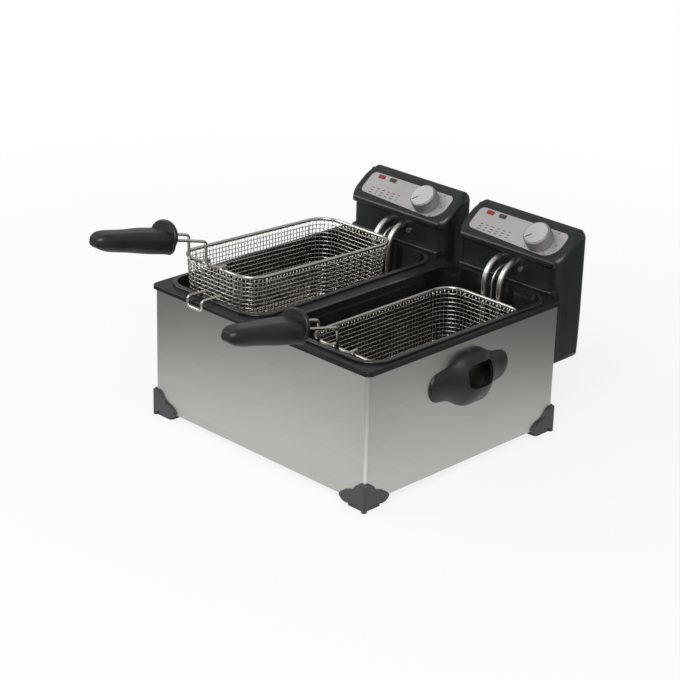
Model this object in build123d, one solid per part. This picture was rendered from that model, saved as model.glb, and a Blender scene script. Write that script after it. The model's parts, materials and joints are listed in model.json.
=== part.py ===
from build123d import *
import os
from math import cos, radians, sin

# A countertop deep fryer with two oil tanks, two lift-off control heads and two wire baskets.
# Millimetres. Modelled with Y = 0 at the casing's middle and z = 0 on the worktop, front towards -Y.
# The left basket hangs on its front hook over the edge, the right one is lowered into its tank.

# Casing: the tanks, the bridge between them and the margins round them give its plan
CASE_H = 166.0
FRONT_MARGIN = 14.0
REAR_MARGIN = 12.0
SIDE_MARGIN = 8.0
BRIDGE = 30.0
SHEET = 1.0
CORNER_R = 5.0
BASE_FOLD = 14.0
VENT_L = 46.0
VENT_W = 5.0
VENT_PITCH_X = 70.0
VENT_PITCH_Y = 26.0

# Clearances
SNUG = 0.05
FIT = 0.3
SLIDE_FIT = 0.5
OVERCUT = 1.0

# Corner feet
FOOT_H = 11.0
FOOT_REACH = 40.0
FOOT_RISE = 24.0
FOOT_T = 3.5
FOOT_PAD = 30.0
FOOT_TIP = 1.0
# Outline of a cheek between the corner post and its tip, as shares of the reach and of the full height
FOOT_CREST = ((0.28, 0.95), (0.5, 0.68), (0.7, 0.6))
FOOT_HEM = ((0.66, 0.14), (0.4, 0.2))

# Top frame
FRAME_LAP = 4.0
FRAME_T = 6.0
FRAME_EDGE_R = 2.5
SKIRT_H = 9.0
SKIRT_T = 2.0

# Oil tanks
TANK_W = 168.0
TANK_L = 322.0
TANK_CORNER_R = 28.0
TANK_FLOOR_R = 14.0
TANK_WALL = 1.4
TANK_CLEAR = 13.0
TANK_DRAFT = 5.0
LIP_W = 5.0
LIP_H = 3.0
LIP_EDGE_R = 1.3

# Carry grips on the casing's sides
GRIP_Y = 4.0
GRIP_DROP = 50.0
GRIP_SEAT = 5.0
GRIP_OUT = 27.0
GRIP_WALL = 3.0
GRIP_HOLLOW_L = 72.0
GRIP_HOLLOW_H = 64.0
# Half of the grip's sections: distance from its middle, half height, reach out from the wall
GRIP_SECTIONS = ((0.0, 35.0, GRIP_OUT), (24.0, 31.0, 20.0), (41.0, 22.0, 10.0), (52.0, 20.0, 7.5),
                 (63.0, 17.0, 6.0), (70.0, 9.0, 3.5))
GRIP_MOUTH_W = 44.0
GRIP_MOUTH_H = 30.0
GRIP_MOUTH_RISE = 9.0
GRIP_MOUTH_R = 9.0

# Control heads
HEAD_SPACING = 20.0
HEAD_GAP = 4.5
HEAD_SINK = 95.0
HEAD_LOW_DEPTH = 42.0
HEAD_TOP_DEPTH = 56.0
HEAD_CORNER_R = 18.0
HEAD_BOTTOM_R = 12.0
HEAD_WALL = 5.0
FRONT_WALL = 9.0
HEAD_COVER_Y = 36.0
HOOD_RISE = 39.0
HOOD_OUT = 7.0
HOOD_LIP_H = 7.0
HOOD_TOP_R = 16.0
HOOD_CREST = 4.0
TRUNK_FRONT_R = 4.0
TRUNK_BOTTOM_R = 8.0
LIP_R = 2.0
BROW_R = 4.0
CREST_R = 6.0
BACK_R = 8.0
BAY_ROOM = 3.0
PANEL_TILT = 37.0
PANEL_SLOPE = 52.0
SADDLE_REACH = 9.5
SADDLE_H = 7.0
SADDLE_R = 8.0
SADDLE_INSET = 8.0

# Rail on the rear wall that guides each head
RAIL_W = 40.0
TONGUE_W = 24.0
TONGUE_T = 5.5
RAIL_SINK = 85.0
RAIL_H = 64.0

# Control plate, knob and lamps
PLATE_MARGIN = 14.0
PLATE_BORDER = 5.0
PLATE_T = 1.4
PLATE_PROUD = 0.4
PLATE_R = 8.0
PLATE_SWEEP_R = 22.0
PLATE_SLANT = 7.0
PANEL_WALL = 3.2
KNOB_R = 19.0
KNOB_H = 15.0
KNOB_INSET = 35.0
KNOB_RIBS = 18
RIB_R = 1.6
KNOB_CAP_R = 16.0
KNOB_CAP_T = 1.5
KNOB_LIFT = 1.0
SPINDLE_R = 3.0
SPINDLE_L = 22.0
THERMO_SIZE = 27.0
THERMO_T = 19.0
LAMP_W = 11.0
LAMP_H = 5.5
LAMP_INSET = 19.0
LAMP_STEP = 21.0
LAMP_V = 16.0
LAMP_PROUD = 1.0
LAMP_T = 5.0

# Heating element and sensor
TUBE_R = 4.0
LEG_SPACING = 26.0
LEG_SETBACK = 30.0
EXIT_RISE = 29.0
LEG_BEND_R = 29.0
FOOT_BEND_R = 16.0
ELEMENT_RISE = 32.0
ELEMENT_SIDE_GAP = 36.0
ELEMENT_FRONT_GAP = 52.0
ELEMENT_NECK = 44.0
ELEMENT_TAIL = 8.0
ELEMENT_TURN_R = 24.0
NECK_R = 12.0
CLAMP_W = 60.0
CLAMP_H = 22.0
CLAMP_T = 5.0
SCREW_X = 22.0
SCREW_DROP = 8.0
SCREW_R = 1.9
SCREW_HEAD_R = 3.4
SCREW_HEAD_H = 2.2
SCREW_L = 12.0
CAPILLARY_R = 1.2
CAPILLARY_DROP = 7.0
SENSOR_R = 3.0
SENSOR_L = 90.0

# Rear of the head
RESET_INSET = 44.0
RESET_RISE = 37.0
RESET_R = 5.0
RESET_PROUD = 3.5
RESET_TRAVEL = 2.0
CUTOUT_W = 28.0
CUTOUT_T = 18.0
GLAND_INSET = 39.0
GLAND_RISE = 24.0
GLAND_R = 9.0
GLAND_BORE_R = 4.2
GLAND_PROUD = 8.0
COVER_SCREW_INSET = 29.0
COVER_SCREW_LIP = 3.0

# Wire baskets
BASKET_SIDE_GAP = 17.0
BASKET_FRONT_GAP = 38.0
BASKET_REAR_GAP = 22.0
RIM_DROP = 16.7
BASKET_R = 28.0
BASKET_TAPER = 7.0
MESH_T = 1.6
MESH_PITCH = 24.0
MESH_RISE = 32.0
MESH_BAR = 5.0
RIM_R = 2.2
WIRE_R = 1.9
HOOK_W = 26.0
HOOK_OUT = 30.0
HOOK_LEVEL = 36.0
HOOK_DROP = 13.0
HOOK_BEND_R = 5.0
HOOK_CLEAR = 2.1
HUNG_SHIFT = -6.0
HUNG_TILT = 2.2

# Basket handles
PRONG_SPACING = 32.0
PRONG_IN = 7.0
PRONG_TAIL = 12.0
PRONG_STEP = 27.0
PRONG_STEP_RISE = 12.0
PRONG_RISE = 43.0
PRONG_BEND_R = 6.0
PRONG_HOOK_R = 3.0
HANDLE_TILT = 13.0
HANDLE_REACH = 53.0
SOCKET_DEPTH = 18.0
GUARD_W = 47.0
GUARD_H = 40.0
GUARD_LIFT = 1.0
GUARD_T = 6.0
GUARD_EDGE_R = 2.0
# Sections along the handle: distance from its inner end, width, height, fall below the prongs
HANDLE_SECTIONS = ((0.0, 42.0, 30.0, 5.0), (24.0, 39.0, 28.0, 6.0), (64.0, 32.0, 25.0, 7.5),
                   (92.0, 31.0, 23.0, 8.5), (106.0, 26.0, 18.0, 9.0), (113.0, 14.0, 9.0, 9.5))
SECTION_ROUND = 0.38

# Plan worked out from the sizes above
CELL_X = (TANK_W + BRIDGE) / 2
CASE_W = 2 * CELL_X + TANK_W + 2 * SIDE_MARGIN
CASE_D = TANK_L + FRONT_MARGIN + REAR_MARGIN
TANK_Y = (FRONT_MARGIN - REAR_MARGIN) / 2
HEAD_W = 2 * CELL_X - HEAD_SPACING
HEAD_FRONT = CASE_D / 2 + HEAD_GAP
HEAD_REAR = HEAD_FRONT + HEAD_TOP_DEPTH
COVER_Y = HEAD_FRONT + HEAD_COVER_Y
COVER_SCREW_X = HEAD_W / 2 - COVER_SCREW_INSET
RESET_X = RESET_INSET - HEAD_W / 2
GLAND_X = HEAD_W / 2 - GLAND_INSET
PLATE_W = HEAD_W - 2 * PLATE_MARGIN
PLATE_H = PANEL_SLOPE - 2 * PLATE_BORDER
KNOB_X = PLATE_W / 2 - KNOB_INSET
LAMP_X = LAMP_INSET - PLATE_W / 2
LEG_Y = HEAD_FRONT - LEG_SETBACK
ELEMENT_W = TANK_W - 2 * ELEMENT_SIDE_GAP
ELEMENT_FRONT = TANK_Y - TANK_L / 2 + ELEMENT_FRONT_GAP
BASKET_W = TANK_W - 2 * BASKET_SIDE_GAP
BASKET_L = TANK_L - BASKET_FRONT_GAP - BASKET_REAR_GAP
LOWERED_Y = TANK_Y + (BASKET_FRONT_GAP - BASKET_REAR_GAP) / 2
HUNG_Y = BASKET_L / 2 + HOOK_OUT - WIRE_R - HOOK_CLEAR - FRAME_LAP - CASE_D / 2

# Levels and the panel plane worked out from the sizes above
CASE_TOP = FOOT_H + CASE_H
FRAME_TOP = CASE_TOP + FRAME_T
LIP_TOP = FRAME_TOP + LIP_H
GRIP_Z = CASE_TOP - GRIP_DROP
TANK_FLOOR_Z = FOOT_H + 2 * SHEET + TANK_CLEAR
HEAD_LOW_Z = FRAME_TOP - HEAD_SINK
HOOD_Z = FRAME_TOP + HOOD_RISE
RAIL_LOW_Z = FRAME_TOP - RAIL_SINK
RESET_Z = HEAD_LOW_Z + RESET_RISE
GLAND_Z = HEAD_LOW_Z + GLAND_RISE
EXIT_Z = FRAME_TOP + EXIT_RISE
ELEMENT_Z = TANK_FLOOR_Z + ELEMENT_RISE
LOWERED_Z = FRAME_TOP - RIM_DROP
BASKET_H = LOWERED_Z - ELEMENT_Z - TUBE_R - FIT
HUNG_Z = LIP_TOP + FIT + WIRE_R + HOOK_LEVEL
PANEL_START = (HEAD_FRONT - HOOD_OUT, HOOD_Z + HOOD_LIP_H)
PANEL_UP = (cos(radians(PANEL_TILT)), sin(radians(PANEL_TILT)))
PANEL_END = (PANEL_START[0] + PANEL_SLOPE * PANEL_UP[0], PANEL_START[1] + PANEL_SLOPE * PANEL_UP[1])
PANEL_MIDDLE = (0, (PANEL_START[0] + PANEL_END[0]) / 2, (PANEL_START[1] + PANEL_END[1]) / 2)
PANEL = Plane(PANEL_MIDDLE, x_dir=(1, 0, 0), z_dir=(0, -PANEL_UP[1], PANEL_UP[0]))
SIDES = {"left": -1, "right": 1}


def slab(width, depth, radius, low, high):
    """Upright prism with rounded corners, centred on the Z axis."""
    return Pos(0, 0, low) * extrude(RectangleRounded(width, depth, radius), high - low)


def block(x0, x1, y0, y1, z0, z1):
    """Box between two corners."""
    return Pos((x0 + x1) / 2, (y0 + y1) / 2, (z0 + z1) / 2) * Box(x1 - x0, y1 - y0, z1 - z0)


def rod(radius, y0, y1, x=0.0, z=0.0):
    """Round bar along Y."""
    return Pos(x, y0, z) * Rot(-90, 0, 0) * extrude(Circle(radius), y1 - y0)


def tube(points, radii, radius):
    """Round bar along straight runs joined by arcs."""
    path = FilletPolyline(*points, radius=radii)
    return sweep(Plane(origin=path @ 0, z_dir=path % 0) * Circle(radius), path=path)


def side_profile(points, radii, width):
    """Outline in the YZ plane, with rounded corners, drawn out to both sides along X."""
    outline = FilletPolyline(*points, radius=radii, close=True)
    return extrude(Plane.YZ * make_face(outline), width / 2, both=True)


def make_casing():
    """Folded sheet wrap with an inward fold at the bottom."""
    inside = (CASE_W - 2 * SHEET, CASE_D - 2 * SHEET, CORNER_R - SHEET)
    body = slab(CASE_W, CASE_D, CORNER_R, FOOT_H, CASE_TOP)
    body -= slab(*inside, FOOT_H + SHEET, CASE_TOP)
    return body - slab(CASE_W - 2 * BASE_FOLD, CASE_D - 2 * BASE_FOLD, CORNER_R, FOOT_H, FOOT_H + SHEET)


def make_base_plate():
    """Floor of the casing, lying on the fold, with rows of vent slots under each tank."""
    gap = 2 * (SHEET + FIT)
    plate = slab(CASE_W - gap, CASE_D - gap, CORNER_R - SHEET, FOOT_H + SHEET, FOOT_H + 2 * SHEET)
    slots = Sketch() + GridLocations(VENT_PITCH_X, VENT_PITCH_Y, 4, 3) * SlotOverall(VENT_L, VENT_W)
    return plate - Pos(0, 0, FOOT_H) * extrude(slots, 3 * SHEET)


def make_top_frame():
    """Moulded frame with a rounded edge, two openings and a skirt inside the casing."""
    lap = 2 * FRAME_LAP
    rim = slab(CASE_W + lap, CASE_D + lap, CORNER_R + FRAME_LAP, CASE_TOP, FRAME_TOP)
    rim = fillet(rim.edges().group_by(Axis.Z)[-1], FRAME_EDGE_R)
    gap = 2 * (SHEET + FIT)
    skirt = slab(CASE_W - gap, CASE_D - gap, CORNER_R - SHEET, CASE_TOP - SKIRT_H, CASE_TOP)
    gap += 2 * SKIRT_T
    skirt -= slab(CASE_W - gap, CASE_D - gap, CORNER_R - SHEET, CASE_TOP - SKIRT_H, CASE_TOP)
    frame = rim + skirt
    gap = 2 * SLIDE_FIT
    hole = slab(TANK_W + gap, TANK_L + gap, TANK_CORNER_R, CASE_TOP - SKIRT_H, FRAME_TOP)
    for side in SIDES.values():
        frame -= Pos(side * CELL_X, TANK_Y, 0) * hole
    return frame


def tank_form(inset, floor, top):
    """Tapered pot form with a rounded floor edge, shrunk all round by inset."""
    def section(shrink, z):
        outline = RectangleRounded(TANK_W - 2 * shrink, TANK_L - 2 * shrink, TANK_CORNER_R - inset)
        return Pos(0, 0, z) * outline

    form = loft([section(TANK_DRAFT + inset, floor), section(inset, FRAME_TOP)])
    form = fillet(form.edges().group_by(Axis.Z)[0], TANK_FLOOR_R - inset)
    if top > FRAME_TOP:
        form += Pos(0, 0, FRAME_TOP) * extrude(section(inset, 0), top - FRAME_TOP)
    return form


def make_tank():
    """Enamelled pot that hangs in the frame by its rolled lip."""
    lip = slab(TANK_W + 2 * LIP_W, TANK_L + 2 * LIP_W, TANK_CORNER_R + LIP_W, FRAME_TOP, LIP_TOP)
    lip = fillet(lip.edges().group_by(Axis.Z)[-1], LIP_EDGE_R)
    pot = tank_form(0, TANK_FLOOR_Z, FRAME_TOP) + lip
    return pot - tank_form(TANK_WALL, TANK_FLOOR_Z + TANK_WALL, LIP_TOP)


def make_foot():
    """Foot for the +X, -Y corner: two scalloped cheeks outside the walls, over a pad."""
    reach, rise = FOOT_REACH, FOOT_H + FOOT_RISE
    tip = (reach, FOOT_H + FOOT_TIP)
    crest = Spline((0, rise), *[(reach * u, rise * v) for u, v in FOOT_CREST], tip)
    hem = Spline(tip, *[(reach * u, rise * v) for u, v in FOOT_HEM], (0, 0))
    outline = make_face([crest, hem, Line((0, 0), (0, rise))])
    front = extrude(Plane((0, 0, 0), x_dir=(-1, 0, 0), z_dir=(0, 1, 0)) * outline, -FOOT_T)
    flank = extrude(Plane.YZ * outline, FOOT_T)
    post = extrude(Circle(FOOT_T), rise)
    pad = Pos(-FOOT_PAD / 2, FOOT_PAD / 2, 0) * slab(FOOT_PAD, FOOT_PAD, CORNER_R, 0, FOOT_H)
    foot = Pos(CASE_W / 2, -CASE_D / 2, 0) * (front + flank + post + pad)
    return foot - slab(CASE_W, CASE_D, CORNER_R - FIT, FOOT_H, CASE_TOP)


def grip_form():
    """Lobed bulge on the wall: half ellipses along Y, drawn into each other."""
    sections = []
    ends = [(-y, half, out) for y, half, out in reversed(GRIP_SECTIONS[1:])]
    for y, half, out in (*ends, *GRIP_SECTIONS):
        plane = Plane((0, y, 0), x_dir=(0, 0, 1), z_dir=(0, 1, 0))
        sections.append(plane * (Ellipse(half, out) & Pos(0, out / 2) * Rectangle(2 * half, out)))
    return loft(sections)


def grip_hollow():
    """Finger room behind the grip's skin."""
    across, along = GRIP_HOLLOW_H / 2, GRIP_HOLLOW_L / 2
    half = Ellipse(across, along) & Pos(across, 0) * Rectangle(2 * across, 2 * along)
    return Pos(GRIP_OUT - GRIP_WALL - across, 0, 0) * revolve(half, Axis.Y)


def make_carry_grip(turn):
    """Moulded grip on one side, hollow behind a mouth for the fingers."""
    mouth = Pos(0, GRIP_MOUTH_RISE) * RectangleRounded(GRIP_MOUTH_W, GRIP_MOUTH_H, GRIP_MOUTH_R)
    grip = grip_form() - grip_hollow()
    grip -= Pos(GRIP_SEAT, 0, 0) * extrude(Plane.YZ * mouth, GRIP_OUT)
    return Pos(0, GRIP_Y, GRIP_Z) * Rot(0, 0, turn) * Pos(CASE_W / 2, 0, 0) * grip


def make_rail():
    """Bracket on the rear wall with the tongue that the head slides down on."""
    rear = CASE_D / 2
    low, high = RAIL_LOW_Z, RAIL_LOW_Z + RAIL_H
    base = block(-RAIL_W / 2, RAIL_W / 2, rear, HEAD_FRONT - SLIDE_FIT, low, high)
    return base + block(-TONGUE_W / 2, TONGUE_W / 2, rear, HEAD_FRONT + TONGUE_T, low, high)


def head_rear(z):
    """Y of the head's sloping back at a height."""
    slope = (HEAD_TOP_DEPTH - HEAD_LOW_DEPTH) / (HOOD_Z - HEAD_LOW_Z)
    return HEAD_FRONT + HEAD_LOW_DEPTH + slope * (min(z, HOOD_Z) - HEAD_LOW_Z)


def head_trunk():
    """Lower part of the head: sloping back, rounded in plan and at the bottom corners."""
    low, high = HEAD_LOW_Z, HOOD_Z + HOOD_LIP_H
    rear = HEAD_FRONT + HEAD_LOW_DEPTH
    points = ((HEAD_FRONT, low), (HEAD_FRONT, high), (HEAD_REAR, high), (HEAD_REAR, HOOD_Z), (rear, low))
    trunk = side_profile(points, (TRUNK_FRONT_R, 0, 0, 0, TRUNK_BOTTOM_R), HEAD_W)
    plan = slab(HEAD_W, HEAD_TOP_DEPTH, HEAD_CORNER_R, low, high)
    trunk &= Pos(0, HEAD_FRONT + HEAD_TOP_DEPTH / 2, 0) * plan
    face = Pos(0, low + HEAD_W / 2) * RectangleRounded(HEAD_W, HEAD_W, HEAD_BOTTOM_R)
    return trunk & Pos(0, HEAD_REAR, 0) * extrude(Plane.XZ * face, HEAD_TOP_DEPTH)


def head_hood():
    """Upper part of the head: overhanging lip, sloping panel and rounded crown."""
    crest = ((PANEL_END[0] + HEAD_REAR) / 2, PANEL_END[1] + HOOD_CREST)
    points = ((PANEL_START[0], HOOD_Z), PANEL_START, PANEL_END, crest,
              (HEAD_REAR, PANEL_END[1] - HOOD_LIP_H), (HEAD_REAR, HOOD_Z))
    hood = side_profile(points, (LIP_R, BROW_R, CREST_R, CREST_R, BACK_R, 0), HEAD_W)
    depth = HEAD_TOP_DEPTH + HOOD_OUT
    top = crest[1]
    hood &= Pos(0, HEAD_REAR - depth / 2, 0) * slab(HEAD_W, depth, HEAD_CORNER_R, HOOD_Z, top)
    face = Pos(0, top - HEAD_W / 2) * RectangleRounded(HEAD_W, HEAD_W, HOOD_TOP_R)
    return hood & Pos(0, HEAD_REAR, 0) * extrude(Plane.XZ * face, depth)


def plate_outline(grow):
    """Control plate: level top, lower edge slanting down to a wide sweep round the knob."""
    half, top, low = PLATE_W / 2 + grow, PLATE_H / 2 + grow, -PLATE_H / 2 - grow
    corners = ((-half, top), (half, top), (half, low), (-half, low + PLATE_SLANT))
    radii = (PLATE_R, PLATE_R, PLATE_SWEEP_R, PLATE_R)
    return make_face(FilletPolyline(*corners, radius=radii, close=True))


def on_panel(sketch, low, high):
    """Sketch on the panel plane drawn out from one depth to another."""
    return extrude(PANEL.offset(low) * sketch, high - low)


def lamp_sites():
    return [Pos(LAMP_X + i * LAMP_STEP, LAMP_V) for i in range(2)]


def head_cavity():
    """Space inside the head for the switchgear."""
    half = HEAD_W / 2 - HEAD_WALL
    floor = HEAD_LOW_Z + HEAD_WALL + BAY_ROOM
    room = block(-half, half, HEAD_FRONT + FRONT_WALL, COVER_Y, floor, HOOD_Z - HEAD_WALL)
    depth = PANEL_WALL + THERMO_T + BAY_ROOM
    bay = on_panel(Rectangle(PLATE_W, THERMO_SIZE + 2 * BAY_ROOM), -depth, -PANEL_WALL)
    low, high = RESET_Z + CUTOUT_W, HOOD_Z - 2 * HEAD_WALL
    back = [(head_rear(z) - HEAD_WALL, z) for z in (low, high)]
    hollow = ((COVER_Y, low), *back, (COVER_Y, high))
    return room + bay + side_profile(hollow, 0, 2 * half - HEAD_CORNER_R)


def head_body():
    """Trunk, hood and the saddle that rests on the frame, before it is split."""
    reach = SADDLE_REACH + HEAD_CORNER_R
    saddle = slab(HEAD_W - 2 * SADDLE_INSET, reach, SADDLE_R, FRAME_TOP + FIT, FRAME_TOP + FIT + SADDLE_H)
    saddle = fillet(saddle.edges().group_by(Axis.Z)[-1], SADDLE_R / 4)
    return head_trunk() + head_hood() + Pos(0, HEAD_FRONT - SADDLE_REACH + reach / 2, 0) * saddle


def element_holes(radius, screw_radius):
    """Bars along Y at the element's legs, the capillary and the two screws."""
    y0, y1 = HEAD_FRONT - SADDLE_REACH, HEAD_FRONT + FRONT_WALL + CLAMP_T
    bars = [rod(radius, y0, y1, x, EXIT_Z) for x in (-LEG_SPACING / 2, LEG_SPACING / 2)]
    bars += [rod(screw_radius, y0, y1, x, EXIT_Z - SCREW_DROP) for x in (-SCREW_X, SCREW_X)]
    return bars + [rod(CAPILLARY_R + FIT, y0, y1, 0, EXIT_Z - CAPILLARY_DROP)]


def cover_screw_sites():
    low = HEAD_LOW_Z + HEAD_WALL
    return [(x, z) for x in (-COVER_SCREW_X, COVER_SCREW_X) for z in (low, HOOD_Z)]


def make_head_shells():
    """Front shell with all its openings, and the rear cover."""
    groove = TONGUE_W / 2 + SLIDE_FIT
    body = head_body() - head_cavity()
    body -= block(-groove, groove, HEAD_FRONT - HEAD_GAP, HEAD_FRONT + TONGUE_T + SLIDE_FIT, 0,
                  RAIL_LOW_Z + RAIL_H + SLIDE_FIT)
    body -= on_panel(plate_outline(FIT), PLATE_PROUD - PLATE_T, PLATE_T)
    low = -PANEL_WALL - OVERCUT
    body -= on_panel(Pos(KNOB_X, 0) * Circle(SPINDLE_R + SLIDE_FIT), low, PLATE_T)
    for site in lamp_sites():
        body -= on_panel(site * Rectangle(LAMP_W + 2 * FIT, LAMP_H + 2 * FIT), low, PLATE_T)
    for bar in element_holes(TUBE_R + FIT, SCREW_R + FIT):
        body -= bar
    body -= rod(RESET_R + FIT, COVER_Y, HEAD_REAR, RESET_X, RESET_Z)
    body -= rod(GLAND_R + FIT, COVER_Y, HEAD_REAR, GLAND_X, GLAND_Z)
    for x, z in cover_screw_sites():
        body -= rod(SCREW_R + FIT, COVER_Y - SCREW_L, HEAD_REAR, x, z)
        body -= rod(SCREW_HEAD_R + FIT, COVER_Y + COVER_SCREW_LIP, HEAD_REAR + OVERCUT, x, z)
    far = 2 * HEAD_W
    front = body & block(-far, far, 0, COVER_Y, 0, far)
    cover = body & block(-far, far, COVER_Y, far, 0, far)
    return front, cover


def make_plate():
    plate = on_panel(plate_outline(0), PLATE_PROUD - PLATE_T, PLATE_PROUD)
    plate -= on_panel(Pos(KNOB_X, 0) * Circle(SPINDLE_R + SLIDE_FIT), -PLATE_T, PLATE_T)
    for site in lamp_sites():
        plate -= on_panel(site * Rectangle(LAMP_W + 2 * FIT, LAMP_H + 2 * FIT), -PLATE_T, PLATE_T)
    return plate


def make_lamp(site):
    """Lens with rounded corners, standing a little proud of the plate."""
    top = PLATE_PROUD + LAMP_PROUD
    return on_panel(site * RectangleRounded(LAMP_W, LAMP_H, LAMP_H / 4), top - LAMP_T, top)


def make_knob():
    """Ribbed knob body with a seat for the cap and a bore for the spindle."""
    low, high = PLATE_PROUD + KNOB_LIFT, PLATE_PROUD + KNOB_LIFT + KNOB_H
    rim = Circle(KNOB_R) - PolarLocations(KNOB_R, KNOB_RIBS) * Circle(RIB_R)
    spot = Pos(KNOB_X, 0)
    seat = on_panel(spot * Circle(KNOB_CAP_R + FIT), high - KNOB_CAP_T, high)
    bore = on_panel(spot * Circle(SPINDLE_R + SNUG), low, low + KNOB_H / 2)
    return on_panel(spot * rim, low, high) - seat - bore


def make_knob_cap():
    high = PLATE_PROUD + KNOB_LIFT + KNOB_H
    return on_panel(Pos(KNOB_X, 0) * Circle(KNOB_CAP_R), high - KNOB_CAP_T, high + KNOB_CAP_T / 3)


def make_spindle():
    top = PLATE_PROUD + KNOB_LIFT + KNOB_H / 2
    return on_panel(Pos(KNOB_X, 0) * Circle(SPINDLE_R), top - SPINDLE_L, top)


def make_thermostat():
    """Switch block under the panel, bored for the spindle's end."""
    spot = Pos(KNOB_X, 0)
    end = PLATE_PROUD + KNOB_LIFT + KNOB_H / 2 - SPINDLE_L
    case = on_panel(spot * Rectangle(THERMO_SIZE, THERMO_SIZE), -PANEL_WALL - THERMO_T, -PANEL_WALL)
    return case - on_panel(spot * Circle(SPINDLE_R + SLIDE_FIT), end - OVERCUT, 0)


def make_element():
    """Tubular heater: two legs out of the head, over the tank's edge and down to a flat loop."""
    leg, loop = LEG_SPACING / 2, ELEMENT_W / 2
    neck_end = LEG_Y - ELEMENT_NECK - (loop - leg)
    tail = HEAD_FRONT + FRONT_WALL + CLAMP_T + ELEMENT_TAIL
    half = [(leg, tail, EXIT_Z), (leg, LEG_Y, EXIT_Z), (leg, LEG_Y, ELEMENT_Z),
            (leg, LEG_Y - ELEMENT_NECK, ELEMENT_Z), (loop, neck_end, ELEMENT_Z),
            (loop, ELEMENT_FRONT, ELEMENT_Z)]
    radii = [LEG_BEND_R, FOOT_BEND_R, NECK_R, NECK_R, ELEMENT_TURN_R]
    points = half + [(-x, y, z) for x, y, z in reversed(half)]
    return tube(points, radii + radii[::-1], TUBE_R)


def make_clamp():
    """Plate inside the head that holds the element's legs."""
    y0 = HEAD_FRONT + FRONT_WALL
    z0 = EXIT_Z - SCREW_DROP / 2
    top = HOOD_Z - HEAD_WALL - FIT
    clamp = block(-CLAMP_W / 2, CLAMP_W / 2, y0, y0 + CLAMP_T, z0 - CLAMP_H / 2, top)
    for bar in element_holes(TUBE_R + SNUG, SCREW_R + SNUG):
        clamp -= bar
    return clamp


def make_element_screws():
    screw = rod(SCREW_HEAD_R, -SCREW_HEAD_H, 0) + rod(SCREW_R, 0, SCREW_L)
    sites = [(x, EXIT_Z - SCREW_DROP) for x in (-SCREW_X, SCREW_X)]
    return Compound(children=[Pos(x, HEAD_FRONT, z) * screw for x, z in sites])


def make_sensor():
    """Thermostat bulb between the element's runs, on its capillary tube."""
    z = EXIT_Z - CAPILLARY_DROP
    start = LEG_Y - ELEMENT_NECK
    points = ((0, HEAD_FRONT + FRONT_WALL + CLAMP_T, z), (0, LEG_Y, z), (0, LEG_Y, ELEMENT_Z),
              (0, start, ELEMENT_Z))
    lead = tube(points, (LEG_BEND_R - CAPILLARY_DROP, FOOT_BEND_R), CAPILLARY_R)
    return lead + rod(SENSOR_R, start - SENSOR_L, start, 0, ELEMENT_Z)


def make_cutout():
    """Overheat switch behind the reset button, with room for the button's travel."""
    case = Pos(RESET_X, COVER_Y - CUTOUT_T / 2, RESET_Z) * Box(CUTOUT_W, CUTOUT_T, CUTOUT_W)
    return case - rod(RESET_R + FIT, COVER_Y - 2 * RESET_TRAVEL - OVERCUT, COVER_Y, RESET_X, RESET_Z)


def make_reset_button():
    return rod(RESET_R, COVER_Y - RESET_TRAVEL, head_rear(RESET_Z) + RESET_PROUD, RESET_X, RESET_Z)


def make_gland():
    rear = head_rear(GLAND_Z) + GLAND_PROUD
    gland = rod(GLAND_R, COVER_Y, rear) - rod(GLAND_BORE_R, COVER_Y, rear)
    return Pos(GLAND_X, 0, GLAND_Z) * gland


def make_cover_screws():
    seat = COVER_Y + COVER_SCREW_LIP
    screw = rod(SCREW_HEAD_R, seat, seat + SCREW_HEAD_H) + rod(SCREW_R, seat - SCREW_L, seat)
    return Compound(children=[Pos(x, 0, z) * screw for x, z in cover_screw_sites()])


def basket_form(inset, low, high):
    """Tapered basket form below the rim, shrunk all round by inset."""
    def section(shrink, z):
        width, length = BASKET_W - 2 * shrink, BASKET_L - 2 * shrink
        return Pos(0, 0, z) * RectangleRounded(width, length, BASKET_R - inset)

    def inset_at(z):
        return inset - BASKET_TAPER * z / BASKET_H

    return loft([section(inset_at(low), low), section(inset_at(high), high)])


def spread(length):
    """Centres of the mesh openings along a straight stretch."""
    count = int(length // MESH_PITCH)
    return [(i - (count - 1) / 2) * MESH_PITCH for i in range(count)]


def make_mesh():
    """Basket wall with its grid of openings; the bar under the first row carries the hook."""
    top = -RIM_R - FIT / 3
    mesh = basket_form(-MESH_T / 2, -BASKET_H, top) - basket_form(MESH_T / 2, -BASKET_H + MESH_T, top)
    gap, rise = MESH_PITCH - MESH_BAR, MESH_RISE - MESH_BAR
    count = int((BASKET_H - HOOK_LEVEL) // MESH_RISE) + 1
    rows = [MESH_RISE * (0.5 - i) - HOOK_LEVEL for i in range(count)]
    along = spread(BASKET_L - 2 * BASKET_R)
    across = spread(BASKET_W - 2 * BASKET_R)
    cuts = [Pos(0, y, z) * Box(2 * BASKET_W, gap, rise) for y in along for z in rows]
    cuts += [Pos(x, 0, z) * Box(gap, 2 * BASKET_L, rise) for x in across for z in rows]
    floor = [Pos(x, y, -BASKET_H) for x in spread(BASKET_W - BASKET_R) for y in along]
    cuts += [spot * Box(gap, gap, 4 * MESH_T) for spot in floor]
    return mesh - cuts


def make_rim():
    """Closed rim wire."""
    path = RectangleRounded(BASKET_W, BASKET_L, BASKET_R).wire()
    return sweep(Plane(origin=path @ 0, z_dir=path % 0) * Circle(RIM_R), path=path)


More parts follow.
